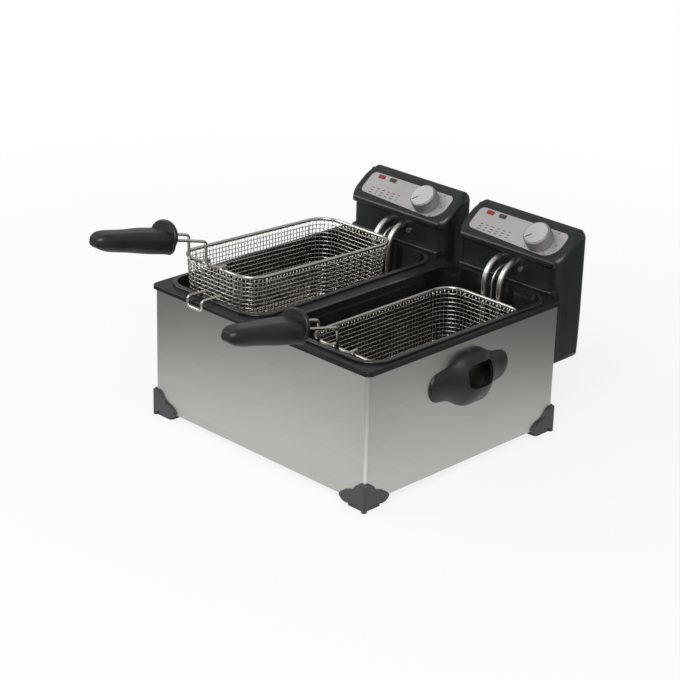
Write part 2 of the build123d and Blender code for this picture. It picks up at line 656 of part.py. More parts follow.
def make_hook():
    """Wire loop that hangs over the front edge."""
    half = HOOK_W / 2
    wall = -BASKET_L / 2 + BASKET_TAPER * HOOK_LEVEL / BASKET_H - MESH_T / 2 - FIT
    out, level = -BASKET_L / 2 - HOOK_OUT, -HOOK_LEVEL
    points = [(half, wall, level), (half, out, level), (half, out, level - HOOK_DROP)]
    points += [(-x, y, z) for x, y, z in reversed(points)]
    return tube(points, HOOK_BEND_R, WIRE_R)


def handle_place():
    """Where the prongs turn towards the grip, with the handle's slope; local -Y runs along the handle."""
    return Pos(0, -BASKET_L / 2 - PRONG_STEP - WIRE_R, PRONG_RISE) * Rot(-HANDLE_TILT, 0, 0)


def make_handle_wire():
    """Two prongs that hook over the rim, step out, rise and run into the grip."""
    front, over = -BASKET_L / 2, RIM_R + WIRE_R + FIT
    bend = Vector(0, front - PRONG_STEP - WIRE_R, PRONG_RISE)
    run = HANDLE_REACH + SOCKET_DEPTH
    tilt = radians(HANDLE_TILT)
    prongs = []
    for x in (-PRONG_SPACING / 2, PRONG_SPACING / 2):
        points = ((x, front + PRONG_IN, -PRONG_TAIL), (x, front + PRONG_IN, over),
                  (x, front - PRONG_IN, over), (x, front - PRONG_STEP, PRONG_STEP_RISE),
                  (x, bend.Y, bend.Z), (x, bend.Y - run * cos(tilt), bend.Z + run * sin(tilt)))
        radii = (PRONG_HOOK_R, PRONG_HOOK_R, PRONG_BEND_R, PRONG_BEND_R)
        prongs.append(tube(points, radii, WIRE_R))
    return Compound(children=prongs)


def make_handle_grip():
    """Moulded grip, thinner towards its tip, with a guard round its inner end, bored for the prongs."""
    sections = []
    for along, width, height, fall in HANDLE_SECTIONS:
        plane = Plane((0, -HANDLE_REACH - along, -fall), x_dir=(1, 0, 0), z_dir=(0, -1, 0))
        sections.append(plane * RectangleRounded(width, height, height * SECTION_ROUND))
    inner = Plane((0, -HANDLE_REACH, GUARD_LIFT), x_dir=(1, 0, 0), z_dir=(0, -1, 0))
    guard = extrude(inner * Ellipse(GUARD_W / 2, GUARD_H / 2), GUARD_T)
    grip = loft(sections) + fillet(guard.edges(), GUARD_EDGE_R)
    for x in (-PRONG_SPACING / 2, PRONG_SPACING / 2):
        grip -= rod(WIRE_R + SNUG, -HANDLE_REACH - SOCKET_DEPTH, 0, x)
    return handle_place() * grip


def head_nodes():
    """All pieces of one control head, about x = 0."""
    shell, cover = make_head_shells()
    lamp_power, lamp_ready = [make_lamp(site) for site in lamp_sites()]
    return {
        "head_shell": shell, "head_cover": cover, "control_plate": make_plate(),
        "lamp_power": lamp_power, "lamp_ready": lamp_ready, "knob": make_knob(),
        "knob_cap": make_knob_cap(), "spindle": make_spindle(), "thermostat": make_thermostat(),
        "element": make_element(),
        "element_clamp": make_clamp(), "element_screws": make_element_screws(),
        "sensor_bulb": make_sensor(), "cutout": make_cutout(), "reset_button": make_reset_button(),
        "cord_gland": make_gland(), "cover_screws": make_cover_screws(), "head_rail": make_rail(),
    }


def basket_nodes():
    """All pieces of one basket, about the middle of its rim."""
    return {
        "basket_mesh": make_mesh(), "basket_rim": make_rim(), "basket_hook": make_hook(),
        "handle_wire": make_handle_wire(), "handle_grip": make_handle_grip(),
    }


def fixed_nodes():
    """Pieces of the cabinet, with the mirrored feet and grips."""
    foot = make_foot()
    rear_foot = mirror(foot, Plane.XZ)
    return {
        "casing": make_casing(), "base_plate": make_base_plate(), "top_frame": make_top_frame(),
        "foot_front_right": foot, "foot_front_left": mirror(foot, Plane.YZ),
        "foot_rear_right": rear_foot, "foot_rear_left": mirror(rear_foot, Plane.YZ),
        "carry_grip_right": make_carry_grip(0), "carry_grip_left": make_carry_grip(180),
    }


def basket_place(side):
    """Hung over the front edge on the left, lowered onto the element on the right."""
    if side < 0:
        hinge = Pos(0, -BASKET_L / 2, -HOOK_LEVEL)
        tilt = hinge * Rot(-HUNG_TILT, 0, 0) * hinge.inverse()
        return Pos(side * CELL_X + HUNG_SHIFT, HUNG_Y, HUNG_Z) * tilt
    return Pos(side * CELL_X, LOWERED_Y, LOWERED_Z)


def build():
    """Every node by name, with the origin at the middle of the whole footprint."""
    nodes = fixed_nodes()
    tank, head, basket = make_tank(), head_nodes(), basket_nodes()
    for name, side in SIDES.items():
        nodes["tank_" + name] = Pos(side * CELL_X, TANK_Y, 0) * tank
        for part, shape in head.items():
            nodes[part + "_" + name] = Pos(side * CELL_X, 0, 0) * shape
        for part, shape in basket.items():
            nodes[part + "_" + name] = basket_place(side) * shape
    boxes = [shape.bounding_box() for shape in nodes.values()]
    front, rear = min(box.min.Y for box in boxes), max(box.max.Y for box in boxes)
    centre = Pos(0, -(front + rear) / 2, 0)
    return {name: centre * shape for name, shape in nodes.items()}


if __name__ == "__main__":
    os.makedirs("parts", exist_ok=True)
    for node, solid in build().items():
        export_step(solid, os.path.join("parts", node + ".step"))
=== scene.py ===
import json
import math

import bmesh
import bpy
import numpy as np
from mathutils import Matrix, Vector


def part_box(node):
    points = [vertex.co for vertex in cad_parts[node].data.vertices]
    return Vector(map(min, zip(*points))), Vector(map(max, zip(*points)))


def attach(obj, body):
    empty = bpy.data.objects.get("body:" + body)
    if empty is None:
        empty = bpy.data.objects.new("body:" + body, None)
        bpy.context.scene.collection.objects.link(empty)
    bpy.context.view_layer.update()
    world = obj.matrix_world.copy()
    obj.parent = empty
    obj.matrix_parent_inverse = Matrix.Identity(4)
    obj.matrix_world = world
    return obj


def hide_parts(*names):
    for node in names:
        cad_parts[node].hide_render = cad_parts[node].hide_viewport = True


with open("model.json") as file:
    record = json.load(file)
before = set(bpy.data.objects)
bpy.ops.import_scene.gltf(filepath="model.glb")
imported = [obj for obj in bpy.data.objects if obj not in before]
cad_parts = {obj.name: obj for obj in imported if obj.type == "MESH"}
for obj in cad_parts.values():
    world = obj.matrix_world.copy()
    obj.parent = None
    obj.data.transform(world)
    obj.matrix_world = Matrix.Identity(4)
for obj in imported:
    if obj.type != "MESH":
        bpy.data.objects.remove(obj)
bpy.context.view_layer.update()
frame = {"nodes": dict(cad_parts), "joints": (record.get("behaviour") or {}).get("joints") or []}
SIDES = ("left", "right")

# Basket sizes in metres, as the solids have them
BASKET_W = 0.134
BASKET_L = 0.262
BASKET_H = 0.104
BASKET_R = 0.028
BASKET_TAPER = 0.007
RIM_R = 0.0022
HUNG_TILT = math.radians(2.2)

# Weave: distance between its wires, their radius, swing to each side and number of sides, and the hem's wire
WEAVE_PITCH = 0.0056
WEAVE_WIRE_R = 0.0006
WEAVE_SWING = 0.0005
WEAVE_SIDES = 5
HEM_WIRE_R = 0.0014
HEM_SIDES = 8

# Painted highlight on the casing's upright folds: metres from the sides where it begins and is full, and its
# colour
FOLD_HIGHLIGHT_REACH = (0.0042, 0.0018)
FOLD_HIGHLIGHT_COLOR = (0.8, 0.8, 0.78, 1.0)

# Rounding of the control heads' hoods
HOOD_SOFT_R = 0.006
HOOD_STEPS = 5
HOOD_PROFILE = 0.5
HOOD_BELOW_PLATE = 0.002
SPLIT_ROOM = 0.0004
SHARP_ANGLE = math.radians(25)
FLAT_ANGLE = math.radians(0.5)
WELD = 1e-6
BEVEL_WELD = 1e-5

# Plate's face and printing: height along the knob's axis from its joint, and thickness
PLATE_PROUD = 0.0004
PRINT_T = 0.00008

# Knob: radii, heights along its axis from its joint, and flutes
KNOB_R = 0.019
KNOB_FOOT = 0.0014
KNOB_RIM = 0.0164
KNOB_TOP = 0.0169
KNOB_TAPER = 0.0007
KNOB_EDGE_R = 0.0018
CAP_SEAT_R = 0.0162
CAP_SEAT_Z = 0.0149
FLUTES = 54
FLUTE_DEPTH = 0.0004
FLUTE_POINTS = 6
RIM_POINTS = 7
KNOB_SHARP_ANGLE = math.radians(50)

# Printing round the knob: the dial's ends in degrees, half the gap at its top, and sizes in metres
DIAL_ENDS = (225, -45)
DIAL_TOP_GAP = math.radians(20)
DIAL_NUMBERS = ("0", "90", "110", "130", "150", "170", "190")
DIGIT_H = 0.0034
DIGIT_GAP = 0.0062
DIGIT_STEPS = 3
TICKS = 28
LONG_TICK_EVERY = 3
TICK_GAP = 0.0024
TICK_L = 0.0022
SHORT_TICK = 0.55
TICK_W = 0.0007
POINTER_AT = 0.55 * KNOB_R
POINTER_L = 0.5 * KNOB_R
POINTER_W = 0.0016

# Cooking guide at the plate's left, from the knob's axis
GUIDE_COLUMNS = np.linspace(-0.097, -0.049, 6)
GUIDE_ROWS = (-0.0035, -0.0077, -0.0119)
GUIDE_STROKES = (0.0052, 0.0036)
GUIDE_STROKE_W = 0.0011

# Table round the part: distances in metres between which its reflection fades, and the two strengths
TABLE_FADE = (0.2, 0.72, 1.0, 0.1)

# Share of white that the camera sees in the table: the distances between which it rises, and the two shares
TABLE_WHITE = (0.4, 1.5, 0.82, 1.0)

# Table's finish and half its width, and the sky's strength as light and in reflections
TABLE_COLOR = (0.86, 0.86, 0.85, 1.0)
TABLE_ROUGHNESS = 0.9
TABLE_HALF = 6.0
SKY_LIGHT = 0.45
SKY_REFLECTED = 0.5

# Lamps: name, place, size and power, all aimed at one point
LAMPS = (("key", (1.2, -2.0, 2.4), 1.6, 60.0), ("fill", (-2.2, -1.4, 1.6), 1.6, 25.0))
LAMP_AIM = (0.0, 0.05, 0.12)

# Camera fitted to the photograph, in metres from the casing's middle on the worktop; its picture in pixels
CAMERA_AT = (1.6918, -1.7587, 1.1269)
CAMERA_RIGHT = (0.7072, 0.7066, 0.0264)
CAMERA_BACK = (0.6457, -0.6606, 0.3829)
CAMERA_FOCAL_PX = 2050.0
PICTURE_PX = 680.0
SENSOR_MM = 36.0


def box_middle(node):
    """Middle of a node's box at rest."""
    low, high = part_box(node)
    return np.array((low + high) / 2)


# Shader nodes

# Middle range of the noise, which is spread over the whole drift
NOISE_RANGE = (0.2, 0.8)


def shader_group(name, inputs, outputs):
    """Empty node group with named sockets: (name, socket type, default) in, (name, socket type) out."""
    group = bpy.data.node_groups.new(name, "ShaderNodeTree")
    for label, kind, value in inputs:
        group.interface.new_socket(label, in_out="INPUT", socket_type=kind).default_value = value
    for label, kind in outputs:
        group.interface.new_socket(label, in_out="OUTPUT", socket_type=kind)
    return group, group.nodes.new("NodeGroupInput"), group.nodes.new("NodeGroupOutput")


def scaled_noise(tree, scale_socket, detail, roughness):
    """Noise on Object coordinates, each axis multiplied by the vector from scale_socket."""
    coords = tree.nodes.new("ShaderNodeTexCoord")
    stretch = tree.nodes.new("ShaderNodeVectorMath")
    stretch.operation = "MULTIPLY"
    noise = tree.nodes.new("ShaderNodeTexNoise")
    noise.inputs["Scale"].default_value = 1.0
    noise.inputs["Detail"].default_value = detail
    noise.inputs["Roughness"].default_value = roughness
    tree.links.new(coords.outputs["Object"], stretch.inputs[0])
    tree.links.new(scale_socket, stretch.inputs[1])
    tree.links.new(stretch.outputs["Vector"], noise.inputs["Vector"])
    return noise.outputs["Fac"]


def feed(tree, value, socket):
    """Puts a number or colour into a socket, or links another socket to it."""
    if hasattr(value, "is_linked"):
        tree.links.new(value, socket)
    else:
        socket.default_value = value


def map_range(tree, value, ends, curve="LINEAR"):
    """Value carried from one range to another: ends are From Min, From Max, To Min and To Max."""
    node = tree.nodes.new("ShaderNodeMapRange")
    node.interpolation_type = curve
    for label, given in zip(("Value", "From Min", "From Max", "To Min", "To Max"), (value, *ends)):
        feed(tree, given, node.inputs[label])
    return node.outputs["Result"]


def math_node(tree, operation, *values):
    """Output of a math node on one or two values."""
    node = tree.nodes.new("ShaderNodeMath")
    node.operation = operation
    for value, socket in zip(values, node.inputs):
        feed(tree, value, socket)
    return node.outputs["Value"]


def mix_node(tree, kind, share, first, second):
    """Value or colour that goes from first to second as share goes from 0 to 1."""
    node = tree.nodes.new("ShaderNodeMix")
    node.data_type = kind
    for label, given in (("Factor", share), ("A", first), ("B", second)):
        feed(tree, given, node.inputs[label])
    return node.outputs["Result"]


def make_surface_group():
    """Fine structure over broad patches: colour and roughness drift between two ends, and a bump's height."""
    group, given, made = shader_group(
        "surface_drift",
        [("Fine Scale", "NodeSocketVector", (900.0, 900.0, 900.0)),
         ("Broad Scale", "NodeSocketVector", (14.0, 14.0, 14.0)),
         ("Fine Share", "NodeSocketFloat", 0.5),
         ("Dark Color", "NodeSocketColor", (0.1, 0.1, 0.1, 1.0)),
         ("Light Color", "NodeSocketColor", (0.2, 0.2, 0.2, 1.0)),
         ("Low Roughness", "NodeSocketFloat", 0.3),
         ("High Roughness", "NodeSocketFloat", 0.5)],
        [("Color", "NodeSocketColor"), ("Roughness", "NodeSocketFloat"), ("Height", "NodeSocketFloat")])
    fine = scaled_noise(group, given.outputs["Fine Scale"], detail=3.0, roughness=0.6)
    broad = scaled_noise(group, given.outputs["Broad Scale"], detail=2.0, roughness=0.5)
    both = mix_node(group, "FLOAT", given.outputs["Fine Share"], broad, fine)
    share = map_range(group, both, (*NOISE_RANGE, 0.0, 1.0))
    tint = mix_node(group, "RGBA", share, given.outputs["Dark Color"], given.outputs["Light Color"])
    rough_ends = given.outputs["Low Roughness"], given.outputs["High Roughness"]
    rough = map_range(group, broad, (*NOISE_RANGE, *rough_ends))
    group.links.new(tint, made.inputs["Color"])
    group.links.new(rough, made.inputs["Roughness"])
    group.links.new(fine, made.inputs["Height"])
    return group


SURFACE_GROUP = make_surface_group()


def all_axes(scale):
    """Scale on each axis, from one number for all three or from three numbers."""
    return scale if isinstance(scale, tuple) else (scale,) * 3


def drift_material(name, dark, light, roughness, fine, broad, share, bump, metallic=0.0, **sockets):
    """Principled surface fed by the drift group; bump is the fine structure's height in metres."""
    material = bpy.data.materials.new(name)
    material.use_nodes = True
    tree = material.node_tree
    shader = tree.nodes["Principled BSDF"]
    drift = tree.nodes.new("ShaderNodeGroup")
    drift.node_tree = SURFACE_GROUP
    values = {"Fine Scale": all_axes(fine), "Broad Scale": all_axes(broad), "Fine Share": share,
              "Dark Color": (*dark, 1.0), "Light Color": (*light, 1.0),
              "Low Roughness": roughness[0], "High Roughness": roughness[1]}
    for label, value in values.items():
        drift.inputs[label].default_value = value
    relief = tree.nodes.new("ShaderNodeBump")
    relief.inputs["Distance"].default_value = bump
    relief.inputs["Strength"].default_value = 1.0
    tree.links.new(drift.outputs["Color"], shader.inputs["Base Color"])
    tree.links.new(drift.outputs["Roughness"], shader.inputs["Roughness"])
    tree.links.new(drift.outputs["Height"], relief.inputs["Height"])
    tree.links.new(relief.outputs["Normal"], shader.inputs["Normal"])
    shader.inputs["Metallic"].default_value = metallic
    for label, value in sockets.items():
        shader.inputs[label.replace("_", " ")].default_value = value
    return material


# Finishes, with scales in cycles per metre

def paint_fold_highlights(material):
    """Paints a highlight into the colour of the casing's four upright folds, where X and Y are both near the
    box's sides.
    """
    tree = material.node_tree
    shader = tree.nodes["Principled BSDF"]
    low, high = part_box("casing")
    coords = tree.nodes.new("ShaderNodeTexCoord")
    parts = tree.nodes.new("ShaderNodeSeparateXYZ")
    tree.links.new(coords.outputs["Object"], parts.inputs["Vector"])
    shares = []
    for axis, label in enumerate("XY"):
        middle, half = (low[axis] + high[axis]) / 2, (high[axis] - low[axis]) / 2
        away = math_node(tree, "ABSOLUTE", math_node(tree, "SUBTRACT", parts.outputs[label], middle))
        shares.append(map_range(tree, away, (half - FOLD_HIGHLIGHT_REACH[0], half - FOLD_HIGHLIGHT_REACH[1], 0.0, 1.0)))
    plain = shader.inputs["Base Color"].links[0].from_socket
    # Painted highlight: the folds' base colour is lightened to stand in for the reflection along their edges
    painted_highlight = mix_node(tree, "RGBA", math_node(tree, "MULTIPLY", *shares), plain, FOLD_HIGHLIGHT_COLOR)
    tree.links.new(painted_highlight, shader.inputs["Base Color"])


def finish_casing_steel():
    """Stainless sheet brushed along the level: streaks are long in X and Y and fine in Z."""
    steel = drift_material(
        "casing_steel", dark=(0.4, 0.398, 0.38), light=(0.56, 0.555, 0.53), roughness=(0.26, 0.36),
        fine=(6.0, 6.0, 1500.0), broad=(3.1, 3.1, 6.0),
        share=0.35, bump=4e-6, metallic=1.0, Anisotropic=0.5)
    # The upright folds get a painted highlight in their colour
    paint_fold_highlights(steel)
    return steel


def finish_tank_enamel():
    """Glossy black enamel of the oil tanks."""
    return drift_material(
        "tank_enamel", dark=(0.006, 0.006, 0.0065), light=(0.012, 0.012, 0.0125), roughness=(0.14, 0.26),
        fine=420.0, broad=18.0, share=0.4, bump=2e-5, Specular_IOR_Level=0.6)


def finish_frame_black():
    """Satin black moulding of the top frame."""
    return drift_material(
        "frame_black", dark=(0.006, 0.006, 0.0065), light=(0.012, 0.012, 0.0125), roughness=(0.3, 0.44),
        fine=1100.0, broad=20.0, share=0.5, bump=3e-5, Specular_IOR_Level=0.3)


def finish_head_plastic():
    """Moulded black plastic with a faint green cast and a fine spark-eroded grain."""
    return drift_material(
        "head_plastic", dark=(0.0062, 0.0092, 0.0076), light=(0.012, 0.0166, 0.014), roughness=(0.27, 0.4),
        fine=1500.0, broad=16.0, share=0.5, bump=4e-5, Specular_IOR_Level=0.5)


def finish_grip_plastic():
    """Smooth black plastic of the grips and the cord glands."""
    return drift_material(
        "grip_plastic", dark=(0.006, 0.006, 0.0062), light=(0.013, 0.013, 0.0132), roughness=(0.32, 0.46),
        fine=1300.0, broad=30.0, share=0.4, bump=2e-5, Specular_IOR_Level=0.5)


def finish_foot_plastic():
    """Dull dark grey plastic of the feet."""
    return drift_material(
        "foot_plastic", dark=(0.03, 0.032, 0.034), light=(0.055, 0.057, 0.06), roughness=(0.4, 0.55),
        fine=1400.0, broad=24.0, share=0.5, bump=4e-5)


def finish_plate_silver():
    """Aluminium plate with a fine level brushing."""
    return drift_material(
        "plate_silver", dark=(0.47, 0.455, 0.445), light=(0.6, 0.585, 0.575), roughness=(0.36, 0.46),
        fine=(40.0, 2600.0, 2600.0), broad=12.0, share=0.5, bump=6e-6, metallic=0.75)


def finish_knob_silver():
    """Spun face of the knob."""
    return drift_material(
        "knob_silver", dark=(0.6, 0.61, 0.62), light=(0.8, 0.8, 0.81), roughness=(0.28, 0.4),
        fine=900.0, broad=30.0, share=0.4, bump=6e-6, metallic=0.8)


def finish_knob_grey():
    """Grey moulding of the fluted knob body."""
    return drift_material(
        "knob_grey", dark=(0.24, 0.238, 0.23), light=(0.34, 0.336, 0.326), roughness=(0.34, 0.48),
        fine=1400.0, broad=40.0, share=0.5, bump=2e-5, metallic=0.5)


def finish_wire_chrome():
    """Nickel plated wire, a little dulled by hot oil."""
    return drift_material(
        "wire_chrome", dark=(0.5, 0.47, 0.42), light=(0.74, 0.72, 0.69), roughness=(0.14, 0.3),
        fine=700.0, broad=26.0, share=0.3, bump=8e-6, metallic=1.0)


def finish_element_steel():
    """Sheath of the heating element, with straw and grey heat tints in broad patches."""
    return drift_material(
        "element_steel", dark=(0.5, 0.48, 0.45), light=(0.74, 0.73, 0.71), roughness=(0.3, 0.44),
        fine=900.0, broad=22.0, share=0.25, bump=8e-6, metallic=1.0)


def finish_lamp_red():
    """Red plastic of the power lens and the reset button, with fine ribs and a clear coat."""
    return drift_material(
        "lamp_red", dark=(0.2, 0.014, 0.011), light=(0.32, 0.024, 0.018), roughness=(0.16, 0.26),
        fine=(260.0, 2200.0, 2200.0), broad=60.0, share=0.6, bump=4e-5, Coat_Weight=0.5)


def finish_lamp_dark():
    """Dark plastic of the ready lens, with the same ribs and coat."""
    return drift_material(
        "lamp_dark", dark=(0.03, 0.022, 0.018), light=(0.06, 0.045, 0.035), roughness=(0.12, 0.2),
        fine=(260.0, 2200.0, 2200.0), broad=60.0, share=0.6, bump=4e-5, Coat_Weight=0.5)


def finish_switch_beige():
    """Beige ceramic of the thermostat, the cut-out and the element's clamp."""
    return drift_material(
        "switch_beige", dark=(0.5, 0.46, 0.35), light=(0.62, 0.57, 0.44), roughness=(0.5, 0.65),
        fine=700.0, broad=20.0, share=0.5, bump=3e-5)


def finish_print_ink():
    """Dull black ink of the printing."""
    return drift_material(
        "print_ink", dark=(0.02, 0.02, 0.022), light=(0.045, 0.045, 0.048), roughness=(0.5, 0.6),
        fine=3000.0, broad=60.0, share=0.5, bump=2e-6)


FINISH = {
    "casing_steel": finish_casing_steel(), "tank_enamel": finish_tank_enamel(),
    "frame_black": finish_frame_black(), "head_plastic": finish_head_plastic(),
    "grip_plastic": finish_grip_plastic(), "foot_plastic": finish_foot_plastic(),
    "plate_silver": finish_plate_silver(), "knob_silver": finish_knob_silver(),
    "knob_grey": finish_knob_grey(), "wire_chrome": finish_wire_chrome(),
    "element_steel": finish_element_steel(), "lamp_red": finish_lamp_red(),
    "lamp_dark": finish_lamp_dark(), "switch_beige": finish_switch_beige(),
    "print_ink": finish_print_ink(),
}
NODE_FINISH = {
    "casing": "casing_steel", "base_plate": "casing_steel", "top_frame": "frame_black", "tank": "tank_enamel",
    "foot_front": "foot_plastic", "foot_rear": "foot_plastic", "carry_grip": "grip_plastic",
    "head_shell": "head_plastic", "head_cover": "head_plastic", "head_rail": "head_plastic",
    "control_plate": "plate_silver", "knob": "knob_grey", "knob_cap": "knob_silver",
    "spindle": "element_steel", "lamp_power": "lamp_red", "lamp_ready": "lamp_dark",
    "thermostat": "switch_beige", "cutout": "switch_beige", "element_clamp": "switch_beige",
    "element": "element_steel", "element_screws": "element_steel", "sensor_bulb": "element_steel",
    "reset_button": "lamp_red", "cord_gland": "grip_plastic",
    "cover_screws": "element_steel", "basket_mesh": "wire_chrome", "basket_rim": "wire_chrome",
    "basket_hook": "wire_chrome", "handle_wire": "wire_chrome", "handle_grip": "grip_plastic",
}


def dress_nodes():
    """Gives every solid its finish."""
    for name, node in frame["nodes"].items():
        kind = name.removesuffix("_left").removesuffix("_right")
        node.data.materials.clear()
        node.data.materials.append(FINISH[NODE_FINISH[kind]])


# Meshes from arrays

def ride_piece(name, mesh, body, finish):
    """New object at the origin for a mesh, riding on a body."""
    mesh.materials.append(FINISH[finish])
    piece = bpy.data.objects.new(name, mesh)
    bpy.context.scene.collection.objects.link(piece)
    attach(piece, body)
    return piece


def add_piece(name, points, faces, body, finish, smooth=True):
    """New piece from a list of points and a list of faces."""
    mesh = bpy.data.meshes.new(name)
    mesh.from_pydata(points.tolist(), [], faces)
    mesh.polygons.foreach_set("use_smooth", np.full(len(mesh.polygons), smooth))
    mesh.update()
    return ride_piece(name, mesh, body, finish)


def unit(vectors):
    """Vectors divided by their lengths."""
    return vectors / np.linalg.norm(vectors, axis=-1, keepdims=True)


def wire_bundle(paths, outward, radius, sides, closed):
    """Round wires along many paths at once.

    paths and outward are (wires, points, 3). At each point the ring is path + radius (cos a n + sin a b),
    where n is outward made square to the path and b is across both. Returns the points and faces of all."""
    if closed:
        along = unit(np.roll(paths, -1, 1) - np.roll(paths, 1, 1))
    else:
        along = unit(np.gradient(paths, axis=1))
    across = unit(np.cross(outward, along))
    normal = np.cross(along, across)
    angle = np.linspace(0, 2 * np.pi, sides, endpoint=False)[:, None]
    ring = np.cos(angle) * normal[:, :, None] + np.sin(angle) * across[:, :, None]
    points = paths[:, :, None] + radius * ring
    wires, count = paths.shape[:2]
    index = np.arange(points.size // 3).reshape(wires, count, sides)
    here = index if closed else index[:, :-1]
    ahead = np.roll(index, -1, 1) if closed else index[:, 1:]
    quads = np.stack((here, ahead, np.roll(ahead, -1, 2), np.roll(here, -1, 2)), -1).reshape(-1, 4)
    faces = quads.tolist()
    if not closed:
        faces += index[:, 0].tolist() + index[:, -1, ::-1].tolist()
    return points.reshape(-1, 3), faces


def join_bundles(bundles):
    """One list of points and faces from several."""
    points, faces, offset = [], [], 0
    for some_points, some_faces in bundles:
        points.append(some_points)
        faces += [[i + offset for i in face] for face in some_faces]
        offset += len(some_points)
    return np.concatenate(points), faces


# Control heads

def merged_solid(node):
    """Mesh of a solid with its loose triangles joined, and flat faces made one."""
    shape = bmesh.new()
    shape.from_mesh(node.data)
    for layer in shape.loops.layers.float_vector.values():
        shape.loops.layers.float_vector.remove(layer)
    bmesh.ops.remove_doubles(shape, verts=shape.verts, dist=WELD)
    bmesh.ops.dissolve_limit(shape, angle_limit=FLAT_ANGLE, verts=shape.verts, edges=shape.edges)
    return shape


def hood_edges(shape, side):
    """Sharp outer edges of the hood: beyond the control plate's ends and above its lower edge, but not those
    of the split between shell and cover."""
    plate_low, plate_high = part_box("control_plate_" + side)
    middle = (plate_low.x + plate_high.x) / 2
    reach = (plate_high.x - plate_low.x) / 2 + HOOD_SOFT_R
    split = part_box("head_shell_" + side)[1].y
    edges = []
    for edge in shape.edges:
        at = (edge.verts[0].co + edge.verts[1].co) / 2
        outer = abs(at.x - middle) > reach and at.z > plate_low.z - HOOD_BELOW_PLATE
        in_split = abs(at.y - split) < SPLIT_ROOM
        if outer and not in_split and edge.is_manifold and edge.calc_face_angle_signed() > SHARP_ANGLE:
            edges.append(edge)
    return edges


def soft_mesh(node, side):
    """Mesh of a head's solid with its outer hood edges rounded, sharp only where it still turns sharply."""
    shape = merged_solid(node)
    bmesh.ops.bevel(shape, geom=hood_edges(shape, side), offset=HOOD_SOFT_R, offset_type="OFFSET",
                    segments=HOOD_STEPS, profile=HOOD_PROFILE, affect="EDGES",
                    clamp_overlap=False, loop_slide=True)
    bmesh.ops.dissolve_degenerate(shape, dist=BEVEL_WELD, edges=shape.edges)
    mesh = bpy.data.meshes.new("soft_" + node.name)
    shape.to_mesh(mesh)
    shape.free()
    mesh.polygons.foreach_set("use_smooth", np.ones(len(mesh.polygons), bool))
    mesh.set_sharp_from_angle(angle=SHARP_ANGLE)
    return mesh


def soften_heads():
    """Head shells and covers with rounded hood edges, in place of the sharp-edged solids."""
    for side in SIDES:
        for part in ("head_shell_" + side, "head_cover_" + side):
            mesh = soft_mesh(frame["nodes"][part], side)
            piece = ride_piece("soft_" + part, mesh, "head_" + side, "head_plastic")
            even = piece.modifiers.new("even_shading", "WEIGHTED_NORMAL")
            even.keep_sharp = True
            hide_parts(part)


# Woven baskets

def steps(half_length):
    """Places about one weave pitch apart, even about zero, that end half a step short of half_length."""
    count = int(half_length / WEAVE_PITCH)
    return np.arange(-count, count + 1) * (half_length / (count + 0.5))


def wall_columns():
    """Upright wires round the rim, in order: points at the rim, outward normals and the taper's direction.

    Straight stretches step along x or y; each corner is an arc of BASKET_R about its own centre."""
    half_x, half_y = BASKET_W / 2 - BASKET_R, BASKET_L / 2 - BASKET_R
    along_x, along_y = steps(half_x), steps(half_y)
    arc_count = round(BASKET_R * np.pi / 2 / WEAVE_PITCH)
    turn = np.linspace(0, np.pi / 2, arc_count + 1)
    points, normals, tapers = [], [], []
    corners = ((1, 1), (-1, 1), (-1, -1), (1, -1))
    for quarter, (side_x, side_y) in enumerate(corners):
        angle = turn + quarter * np.pi / 2
        normal = np.stack((np.cos(angle), np.sin(angle)), -1)
        points.append(np.array((side_x * half_x, side_y * half_y)) + BASKET_R * normal)
        normals.append(normal)
        tapers.append(np.broadcast_to(np.array((side_x, side_y), float), normal.shape))
        if quarter % 2 == 0:
            run = np.stack((-side_x * along_x, np.full(along_x.shape, side_y * BASKET_L / 2)), -1)
            normal = np.broadcast_to(np.array((0.0, side_y)), run.shape)
        else:
            run = np.stack((np.full(along_y.shape, side_x * BASKET_W / 2), -side_y * along_y), -1)
            normal = np.broadcast_to(np.array((side_x, 0.0)), run.shape)
        points.append(run)
        normals.append(normal)
        tapers.append(normal)
    return [np.concatenate(runs) for runs in (points, normals, tapers)]


def lift(flat, z):
    """Points in the plane given a height."""
    return np.concatenate((flat, np.broadcast_to(z, flat.shape[:-1] + (1,))), -1)


def woven_walls():
    """Uprights and level rings that pass over and under each other.

    Upright j at depth d stands at its rim point less taper d / H, moved out by swing cos(pi (i + j)) at
    level i; ring i is moved the other way."""
    rim, normal, taper = wall_columns()
    depth = np.linspace(RIM_R, BASKET_H, int(BASKET_H / WEAVE_PITCH) + 1)
    inward = BASKET_TAPER * depth / BASKET_H
    flat = rim[:, None] - inward[:, None] * taper[:, None]
    over = (-1.0) ** (np.arange(len(rim))[:, None] + np.arange(len(depth)))
    outward = lift(np.broadcast_to(normal[:, None], flat.shape), 0.0)
    grid = lift(flat, -depth[:, None])
    swing = WEAVE_SWING * over[..., None] * outward
    uprights = wire_bundle(grid + swing, outward, WEAVE_WIRE_R, WEAVE_SIDES, False)
    level, level_out = np.swapaxes(grid - swing, 0, 1), np.swapaxes(outward, 0, 1)
    rings = wire_bundle(level[:-1], level_out[:-1], WEAVE_WIRE_R, WEAVE_SIDES, True)
    hem = wire_bundle(np.swapaxes(grid, 0, 1)[-1:], level_out[-1:], HEM_WIRE_R, HEM_SIDES, True)
    return [uprights, rings, hem]


def chord_half(offset, half_across, half_along):
    """Half the length of a line across a rounded rectangle, at an offset from its middle.

    It is half_across - r + sqrt(r^2 - past^2), where past is how far the offset reaches into the corners."""
    past = np.clip(np.abs(offset) - (half_along - BASKET_R), 0, BASKET_R)
    return half_across - BASKET_R + np.sqrt(BASKET_R ** 2 - past ** 2)


